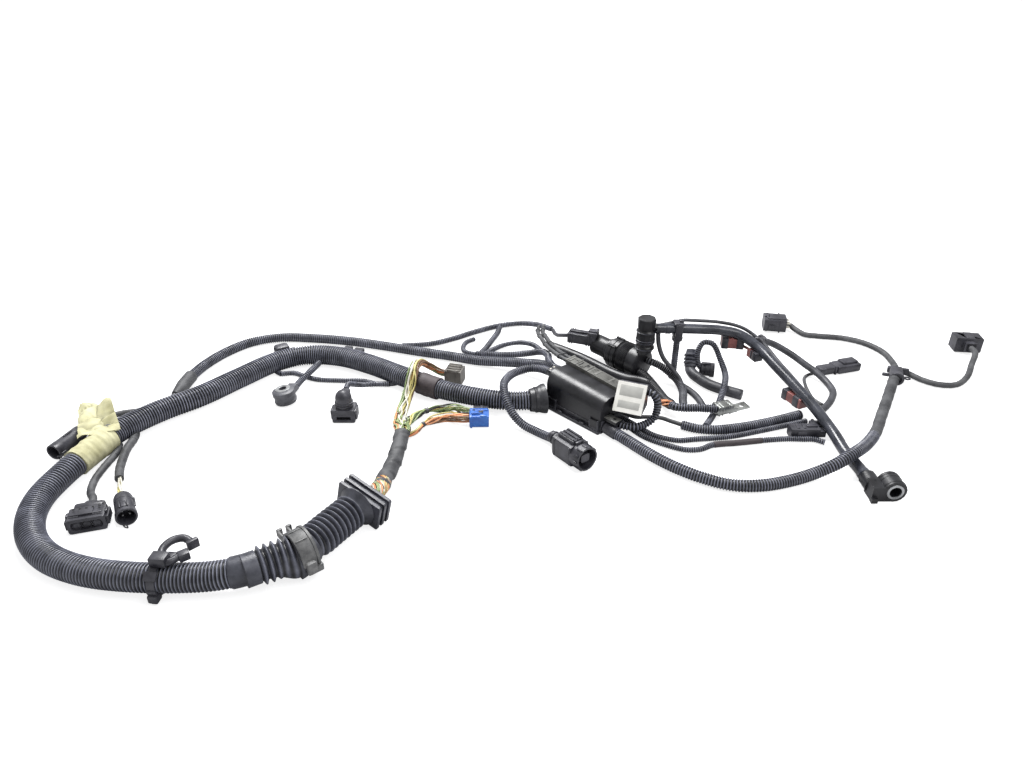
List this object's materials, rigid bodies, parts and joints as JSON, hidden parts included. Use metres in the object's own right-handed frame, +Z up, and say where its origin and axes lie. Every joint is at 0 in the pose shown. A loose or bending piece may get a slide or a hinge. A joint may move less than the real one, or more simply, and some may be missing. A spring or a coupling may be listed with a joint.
{
  "type": "wiring harness",
  "caption": "Vehicle wiring harness lying flat: thick corrugated trunk with a bulkhead grommet, control box, side branches with connectors, valve and rigid pipe.",
  "frame": {"origin": "centre of the bounding box on the floor that the harness lies on", "axes": "+X along the longest extent, towards the cam connectors, +Y towards the rear cable, +Z up from the floor"},
  "size_m": [1.1198, 0.5427, 0.084],
  "materials": {
    "conduit_black": "ribbed flexible conduit, slight blue-grey sheen",
    "conduit_taped": "tape-wrapped or sleeved lead, satin",
    "rubber_black": "moulded rubber, dull",
    "plastic_black": "moulded plastic, fine grain",
    "plastic_gloss": "moulded plastic, satin gloss",
    "plastic_grey": "moulded plastic, matt",
    "plastic_brown": "moulded plastic, matt",
    "plastic_blue": "moulded plastic, satin",
    "relay_red": "moulded plastic, matt",
    "sensor_grey": "cast and machined, dull",
    "terminal_metal": "tinned copper alloy, dull bright",
    "label_white": "matt printed stock",
    "tape_paper": "creased masking tape",
    "wires_yellow": "insulated wires, satin",
    "wires_green": "insulated wires, satin",
    "wires_orange": "insulated wires, satin",
    "hose_grey": "hose, dull",
    "pipe_black": "extruded pipe, satin gloss"
  },
  "bodies": {
    "root": {"trunk_conduit": "conduit_black", "paper_tape": "tape_paper", "cable_clip": "plastic_black", "grommet_bellows": "rubber_black", "grommet_clamp": "plastic_black", "grommet_flange": "rubber_black", "taped_sheath": "conduit_taped", "bundle_a": "wires_yellow", "grey_connector": "plastic_brown", "bundle_b": "wires_green", "bundle_c": "wires_orange", "blue_connector": "plastic_blue", "barrel_connector": "plastic_black", "tail_boot": "conduit_taped", "upper_conduit": "conduit_black", "six_pin_lead": "conduit_taped", "six_pin_connector": "plastic_black", "round_lead": "conduit_taped", "round_connector": "plastic_black", "knock_lead": "conduit_black", "knock_sensor": "sensor_grey", "elbow_lead": "conduit_black", "elbow_connector": "plastic_black", "rear_cable": "conduit_black", "branch_conduits": "conduit_black", "box_boot": "rubber_black", "box_base": "plastic_black", "box_lid": "plastic_gloss", "ribbed_duct": "plastic_grey", "label_holder": "plastic_black", "label_plate": "label_white", "loop_lead": "conduit_black", "multi_pin_connector": "plastic_black", "side_loop": "conduit_black", "front_conduit": "conduit_black", "cam_leads": "conduit_taped", "left_cam_connector": "plastic_black", "right_cam_connector": "plastic_black", "valve_body": "plastic_gloss", "valve_plug": "plastic_black", "valve_cap": "plastic_black", "valve_hose": "hose_grey", "valve_tubes": "hose_grey", "rigid_pipe": "pipe_black", "riser_conduit": "conduit_black", "quick_connector": "plastic_gloss", "ribbed_plug": "rubber_black", "loop_hose": "conduit_black", "thick_hose": "hose_grey", "terminal_conduit": "conduit_black", "cable_terminal": "terminal_metal", "bundle_conduit": "conduit_black", "second_conduit": "conduit_black", "floor_cable": "conduit_black", "black_housing": "plastic_black", "relay_one": "relay_red", "relay_two": "relay_red", "grey_hose": "hose_grey", "clip_connector": "plastic_black"}
  },
  "joints": []
}
